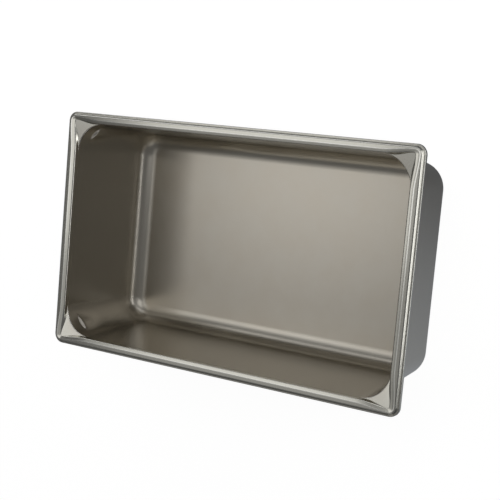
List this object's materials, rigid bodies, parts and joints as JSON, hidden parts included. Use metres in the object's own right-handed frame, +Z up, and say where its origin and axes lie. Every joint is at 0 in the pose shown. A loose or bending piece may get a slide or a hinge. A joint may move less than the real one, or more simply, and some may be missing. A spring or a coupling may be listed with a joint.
{
  "type": "steam table pan",
  "caption": "Deep rectangular food pan drawn from stainless sheet, with a beaded rim it hangs by, sunken corner lands, stacking lugs and a coved floor",
  "frame": {"origin": "middle of the underside of the floor, where the pan stands", "axes": "+X along the long side, +Y across it, +Z up out of the open mouth"},
  "size_m": [0.527, 0.324, 0.152],
  "materials": {
    "stainless_steel": "satin drawn stainless steel"
  },
  "bodies": {
    "root": {"floor_panel": "stainless_steel", "floor_cove_rear": "stainless_steel", "floor_cove_left": "stainless_steel", "floor_cove_front": "stainless_steel", "floor_cove_right": "stainless_steel", "floor_cove_corner_rear_right": "stainless_steel", "floor_cove_corner_rear_left": "stainless_steel", "floor_cove_corner_front_left": "stainless_steel", "floor_cove_corner_front_right": "stainless_steel", "wall_rear": "stainless_steel", "wall_left": "stainless_steel", "wall_front": "stainless_steel", "wall_right": "stainless_steel", "wall_corner_rear_right": "stainless_steel", "wall_corner_rear_left": "stainless_steel", "wall_corner_front_left": "stainless_steel", "wall_corner_front_right": "stainless_steel", "corner_land_rear_right": "stainless_steel", "corner_land_rear_left": "stainless_steel", "corner_land_front_left": "stainless_steel", "corner_land_front_right": "stainless_steel", "rim_rear": "stainless_steel", "rim_left": "stainless_steel", "rim_front": "stainless_steel", "rim_right": "stainless_steel", "rim_corner_rear_right": "stainless_steel", "rim_corner_rear_left": "stainless_steel", "rim_corner_front_left": "stainless_steel", "rim_corner_front_right": "stainless_steel"}
  },
  "joints": []
}
